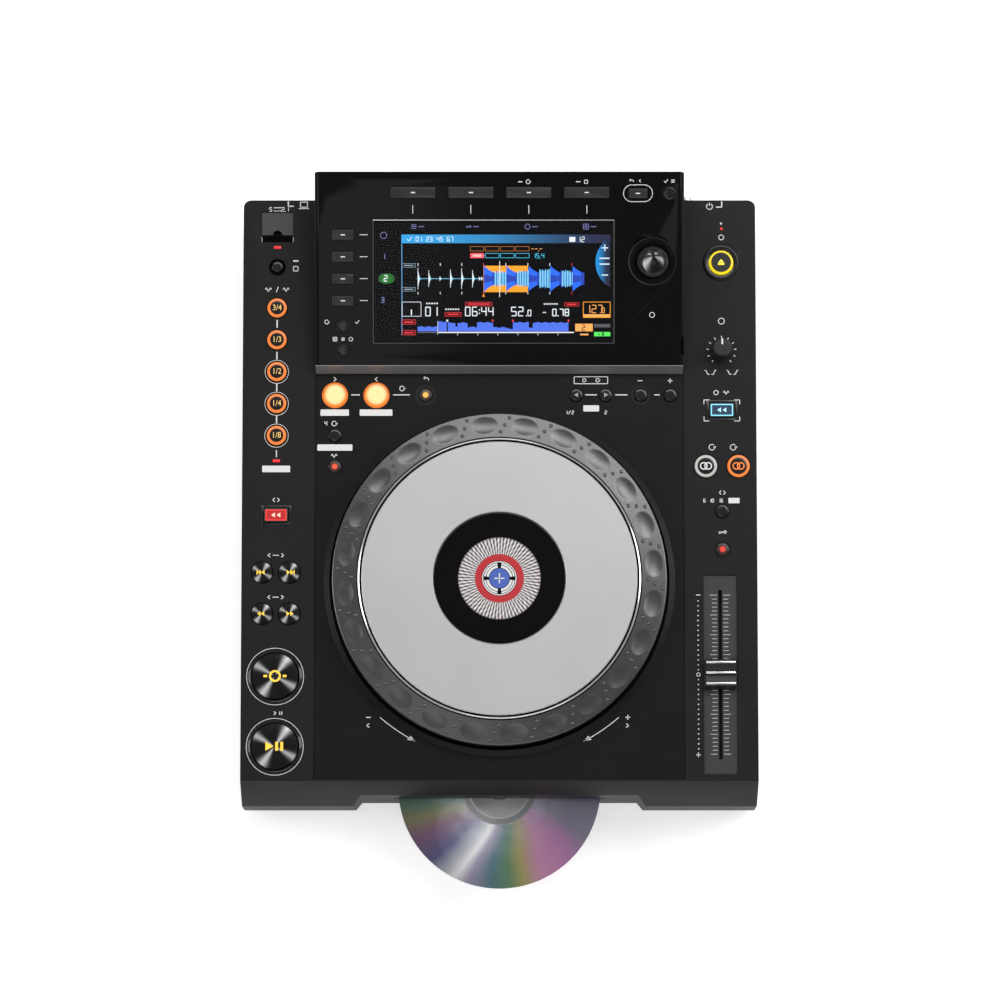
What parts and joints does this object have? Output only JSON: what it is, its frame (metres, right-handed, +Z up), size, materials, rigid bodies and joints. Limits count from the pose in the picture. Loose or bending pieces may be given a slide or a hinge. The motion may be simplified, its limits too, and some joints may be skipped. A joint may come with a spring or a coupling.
{
  "type": "tabletop disc player",
  "caption": "Tabletop disc player for DJ use with a large jog wheel, sloping display head, tempo fader, lit keys and a slot that holds a disc.",
  "frame": {"origin": "on the table, under the middle of the whole player with its disc out", "axes": "+X to the player's right, +Y to the rear, +Z up"},
  "size_m": [0.305, 0.4183, 0.1122],
  "materials": {
    "shell": "fine spark texture",
    "panel": "satin",
    "head": "gloss",
    "window": "clear, gloss",
    "wheel": "polished",
    "touch_plate": "blasted, anodised",
    "centre_display": "gloss",
    "gear": "as moulded",
    "disc": "mirrored under clear plastic",
    "roller": "matt",
    "mechanism_steel": "zinc plated",
    "mechanism_plastic": "as moulded",
    "base_steel": "satin black",
    "key_black": "polished",
    "key_grey": "satin",
    "key_lit": "translucent",
    "knob": "matt",
    "socket": "as moulded, plated contacts",
    "boards": "solder mask",
    "feet": "matt",
    "screws": "black zinc"
  },
  "bodies": {
    "deck": {"top_case": "shell", "deck_panel": "panel", "bottom_tray": "base_steel", "display_housing": "head", "display_window": "window", "jog_display": "centre_display", "loader_frame": "mechanism_steel", "fader_track": "knob", "rear_sockets": "socket", "circuit_boards": "boards", "rubber_feet": "feet", "case_screws": "screws"},
    "jog": {"jog_ring": "wheel"},
    "touch": {"jog_plate": "touch_plate"},
    "encoder": {"encoder_wheel": "gear"},
    "disc": {"disc": "disc"},
    "roller": {"loading_roller": "roller"},
    "clamp": {"disc_clamp": "mechanism_plastic"},
    "sled": {"drive_sled": "mechanism_steel"},
    "turntable": {"turntable": "mechanism_plastic"},
    "pickup": {"optical_pickup": "mechanism_plastic"},
    "tempo": {"tempo_slider": "knob"},
    "speed": {"speed_knob": "knob"},
    "selector": {"selector_shaft": "mechanism_plastic"},
    "selector_grip": {"selector_knob": "knob"},
    "flap": {"usb_flap": "shell"},
    "power": {"power_button": "key_black"},
    "back_key": {"back_key": "key_black"},
    "beat_key_1": {"beat_key_1": "key_black"},
    "beat_key_2": {"beat_key_2": "key_black"},
    "beat_key_3": {"beat_key_3": "key_black"},
    "beat_key_4": {"beat_key_4": "key_black"},
    "beat_key_5": {"beat_key_5": "key_black"},
    "call_keys": {"call_keys": "key_black"},
    "cue_key": {"cue_key": "key_black"},
    "delete_key": {"delete_key": "key_black"},
    "eject_key": {"eject_key": "key_black"},
    "four_beat_key": {"four_beat_key": "key_black"},
    "jog_mode_key": {"jog_mode_key": "key_lit"},
    "loop_in_key": {"loop_in_key": "key_lit"},
    "loop_out_key": {"loop_out_key": "key_lit"},
    "master_key": {"master_key": "key_grey"},
    "master_tempo_key": {"master_tempo_key": "key_black"},
    "memory_key": {"memory_key": "key_black"},
    "menu_keys": {"menu_keys": "key_black"},
    "play_key": {"play_key": "key_black"},
    "quantize_key": {"quantize_key": "key_black"},
    "reloop_key": {"reloop_key": "key_black"},
    "reverse_key": {"reverse_key": "key_lit"},
    "search_back_key": {"search_back_key": "key_black"},
    "search_next_key": {"search_next_key": "key_black"},
    "slip_key": {"slip_key": "key_black"},
    "source_keys": {"source_keys": "key_black"},
    "sync_key": {"sync_key": "key_grey"},
    "tag_key": {"tag_key": "key_black"},
    "tempo_range_key": {"tempo_range_key": "key_black"},
    "time_mode_key": {"time_mode_key": "key_black"},
    "track_back_key": {"track_back_key": "key_black"},
    "track_next_key": {"track_next_key": "key_black"},
    "usb_stop_key": {"usb_stop_key": "key_black"}
  },
  "joints": [
    {"name": "jog_turn", "type": "hinge", "parent": "deck", "child": "jog", "pos_m": [0, -0.03005, 0.071], "axis": [0, 0, 1], "continuous": true},
    {"name": "jog_touch", "type": "slide", "parent": "jog", "child": "touch", "axis": [0, 0, -1], "range_m": [0, 0.0005], "stiffness_N_per_m": 2000, "springref_m": -0.001},
    {"name": "encoder_turn", "type": "hinge", "parent": "deck", "child": "encoder", "pos_m": [0.06495, 0.00745, 0.071], "axis": [0, 0, 1], "continuous": true},
    {"name": "disc_load", "type": "slide", "parent": "deck", "child": "disc", "axis": [0, 1, 0], "range_m": [0, 0.069]},
    {"name": "roller_turn", "type": "hinge", "parent": "deck", "child": "roller", "pos_m": [0, -0.14455, 0.0299], "axis": [-1, 0, 0], "continuous": true},
    {"name": "clamp_turn", "type": "hinge", "parent": "deck", "child": "clamp", "pos_m": [0, -0.08015, 0.044], "axis": [0, 0, 1], "continuous": true},
    {"name": "sled_lift", "type": "slide", "parent": "deck", "child": "sled", "axis": [0, 0, 1], "range_m": [0, 0.005]},
    {"name": "turntable_turn", "type": "hinge", "parent": "sled", "child": "turntable", "pos_m": [0, -0.08015, 0.0218], "axis": [0, 0, 1], "continuous": true},
    {"name": "pickup_travel", "type": "slide", "parent": "sled", "child": "pickup", "axis": [0, 1, 0], "range_m": [0, 0.033]},
    {"name": "tempo_slide", "type": "slide", "parent": "deck", "child": "tempo", "axis": [0, -1, 0], "range_m": [-0.048, 0.048]},
    {"name": "speed_turn", "type": "hinge", "parent": "deck", "child": "speed", "pos_m": [0.132, 0.10815, 0.07], "axis": [0, 0, -1], "range_deg": [-140, 140]},
    {"name": "selector_press", "type": "slide", "parent": "deck", "child": "selector", "axis": [0, 0.2399, -0.9708], "range_m": [0, 0.0008], "stiffness_N_per_m": 400, "springref_m": -0.0015},
    {"name": "selector_turn", "type": "hinge", "parent": "selector", "child": "selector_grip", "pos_m": [0.0906, 0.15644, 0.09873], "axis": [0, -0.2399, 0.9708], "continuous": true},
    {"name": "flap_open", "type": "hinge", "parent": "deck", "child": "flap", "pos_m": [-0.1322, 0.19095, 0.069], "axis": [-1, 0, 0], "range_deg": [0, 95]},
    {"name": "power_press", "type": "slide", "parent": "deck", "child": "power", "axis": [0, -1, 0], "range_m": [0, 0.003], "stiffness_N_per_m": 400, "springref_m": -0.002},
    {"name": "back_press", "type": "slide", "parent": "deck", "child": "back_key", "axis": [0, 0.2399, -0.9708], "range_m": [0, 0.001], "stiffness_N_per_m": 300, "springref_m": -0.0015},
    {"name": "beat_press_1", "type": "slide", "parent": "deck", "child": "beat_key_1", "axis": [0, 0, -1], "range_m": [0, 0.001], "stiffness_N_per_m": 300, "springref_m": -0.0015},
    {"name": "beat_press_2", "type": "slide", "parent": "deck", "child": "beat_key_2", "axis": [0, 0, -1], "range_m": [0, 0.001], "stiffness_N_per_m": 300, "springref_m": -0.0015},
    {"name": "beat_press_3", "type": "slide", "parent": "deck", "child": "beat_key_3", "axis": [0, 0, -1], "range_m": [0, 0.001], "stiffness_N_per_m": 300, "springref_m": -0.0015},
    {"name": "beat_press_4", "type": "slide", "parent": "deck", "child": "beat_key_4", "axis": [0, 0, -1], "range_m": [0, 0.001], "stiffness_N_per_m": 300, "springref_m": -0.0015},
    {"name": "beat_press_5", "type": "slide", "parent": "deck", "child": "beat_key_5", "axis": [0, 0, -1], "range_m": [0, 0.001], "stiffness_N_per_m": 300, "springref_m": -0.0015},
    {"name": "call_press", "type": "slide", "parent": "deck", "child": "call_keys", "axis": [0, 0, -1], "range_m": [0, 0.001], "stiffness_N_per_m": 300, "springref_m": -0.0015},
    {"name": "cue_press", "type": "slide", "parent": "deck", "child": "cue_key", "axis": [0, 0, -1], "range_m": [0, 0.001], "stiffness_N_per_m": 300, "springref_m": -0.0015},
    {"name": "delete_press", "type": "slide", "parent": "deck", "child": "delete_key", "axis": [0, 0, -1], "range_m": [0, 0.001], "stiffness_N_per_m": 300, "springref_m": -0.0015},
    {"name": "eject_press", "type": "slide", "parent": "deck", "child": "eject_key", "axis": [0, 0, -1], "range_m": [0, 0.001], "stiffness_N_per_m": 300, "springref_m": -0.0015},
    {"name": "four_beat_press", "type": "slide", "parent": "deck", "child": "four_beat_key", "axis": [0, 0, -1], "range_m": [0, 0.001], "stiffness_N_per_m": 300, "springref_m": -0.0015},
    {"name": "jog_mode_press", "type": "slide", "parent": "deck", "child": "jog_mode_key", "axis": [0, 0, -1], "range_m": [0, 0.001], "stiffness_N_per_m": 300, "springref_m": -0.0015},
    {"name": "loop_in_press", "type": "slide", "parent": "deck", "child": "loop_in_key", "axis": [0, 0, -1], "range_m": [0, 0.001], "stiffness_N_per_m": 300, "springref_m": -0.0015},
    {"name": "loop_out_press", "type": "slide", "parent": "deck", "child": "loop_out_key", "axis": [0, 0, -1], "range_m": [0, 0.001], "stiffness_N_per_m": 300, "springref_m": -0.0015},
    {"name": "master_press", "type": "slide", "parent": "deck", "child": "master_key", "axis": [0, 0, -1], "range_m": [0, 0.001], "stiffness_N_per_m": 300, "springref_m": -0.0015},
    {"name": "master_tempo_press", "type": "slide", "parent": "deck", "child": "master_tempo_key", "axis": [0, 0, -1], "range_m": [0, 0.001], "stiffness_N_per_m": 300, "springref_m": -0.0015},
    {"name": "memory_press", "type": "slide", "parent": "deck", "child": "memory_key", "axis": [0, 0, -1], "range_m": [0, 0.001], "stiffness_N_per_m": 300, "springref_m": -0.0015},
    {"name": "menu_press", "type": "slide", "parent": "deck", "child": "menu_keys", "axis": [0, 0.2399, -0.9708], "range_m": [0, 0.001], "stiffness_N_per_m": 300, "springref_m": -0.0015},
    {"name": "play_press", "type": "slide", "parent": "deck", "child": "play_key", "axis": [0, 0, -1], "range_m": [0, 0.001], "stiffness_N_per_m": 300, "springref_m": -0.0015},
    {"name": "quantize_press", "type": "slide", "parent": "deck", "child": "quantize_key", "axis": [0, 0.2399, -0.9708], "range_m": [0, 0.001], "stiffness_N_per_m": 300, "springref_m": -0.0015},
    {"name": "reloop_press", "type": "slide", "parent": "deck", "child": "reloop_key", "axis": [0, 0, -1], "range_m": [0, 0.001], "stiffness_N_per_m": 300, "springref_m": -0.0015},
    {"name": "reverse_press", "type": "slide", "parent": "deck", "child": "reverse_key", "axis": [0, 0, -1], "range_m": [0, 0.001], "stiffness_N_per_m": 300, "springref_m": -0.0015},
    {"name": "search_back_press", "type": "slide", "parent": "deck", "child": "search_back_key", "axis": [0, 0, -1], "range_m": [0, 0.001], "stiffness_N_per_m": 300, "springref_m": -0.0015},
    {"name": "search_next_press", "type": "slide", "parent": "deck", "child": "search_next_key", "axis": [0, 0, -1], "range_m": [0, 0.001], "stiffness_N_per_m": 300, "springref_m": -0.0015},
    {"name": "slip_press", "type": "slide", "parent": "deck", "child": "slip_key", "axis": [0, 0, -1], "range_m": [0, 0.001], "stiffness_N_per_m": 300, "springref_m": -0.0015},
    {"name": "source_press", "type": "slide", "parent": "deck", "child": "source_keys", "axis": [0, 0.2399, -0.9708], "range_m": [0, 0.001], "stiffness_N_per_m": 300, "springref_m": -0.0015},
    {"name": "sync_press", "type": "slide", "parent": "deck", "child": "sync_key", "axis": [0, 0, -1], "range_m": [0, 0.001], "stiffness_N_per_m": 300, "springref_m": -0.0015},
    {"name": "tag_press", "type": "slide", "parent": "deck", "child": "tag_key", "axis": [0, 0.2399, -0.9708], "range_m": [0, 0.001], "stiffness_N_per_m": 300, "springref_m": -0.0015},
    {"name": "tempo_range_press", "type": "slide", "parent": "deck", "child": "tempo_range_key", "axis": [0, 0, -1], "range_m": [0, 0.001], "stiffness_N_per_m": 300, "springref_m": -0.0015},
    {"name": "time_mode_press", "type": "slide", "parent": "deck", "child": "time_mode_key", "axis": [0, 0.2399, -0.9708], "range_m": [0, 0.001], "stiffness_N_per_m": 300, "springref_m": -0.0015},
    {"name": "track_back_press", "type": "slide", "parent": "deck", "child": "track_back_key", "axis": [0, 0, -1], "range_m": [0, 0.001], "stiffness_N_per_m": 300, "springref_m": -0.0015},
    {"name": "track_next_press", "type": "slide", "parent": "deck", "child": "track_next_key", "axis": [0, 0, -1], "range_m": [0, 0.001], "stiffness_N_per_m": 300, "springref_m": -0.0015},
    {"name": "usb_stop_press", "type": "slide", "parent": "deck", "child": "usb_stop_key", "axis": [0, 0, -1], "range_m": [0, 0.001], "stiffness_N_per_m": 300, "springref_m": -0.0015}
  ],
  "couplings": [
    {"joint": "encoder_turn", "follows": "jog_turn", "ratio": -4},
    {"joint": "roller_turn", "follows": "disc_load", "rad_per_m": 227.27}
  ]
}
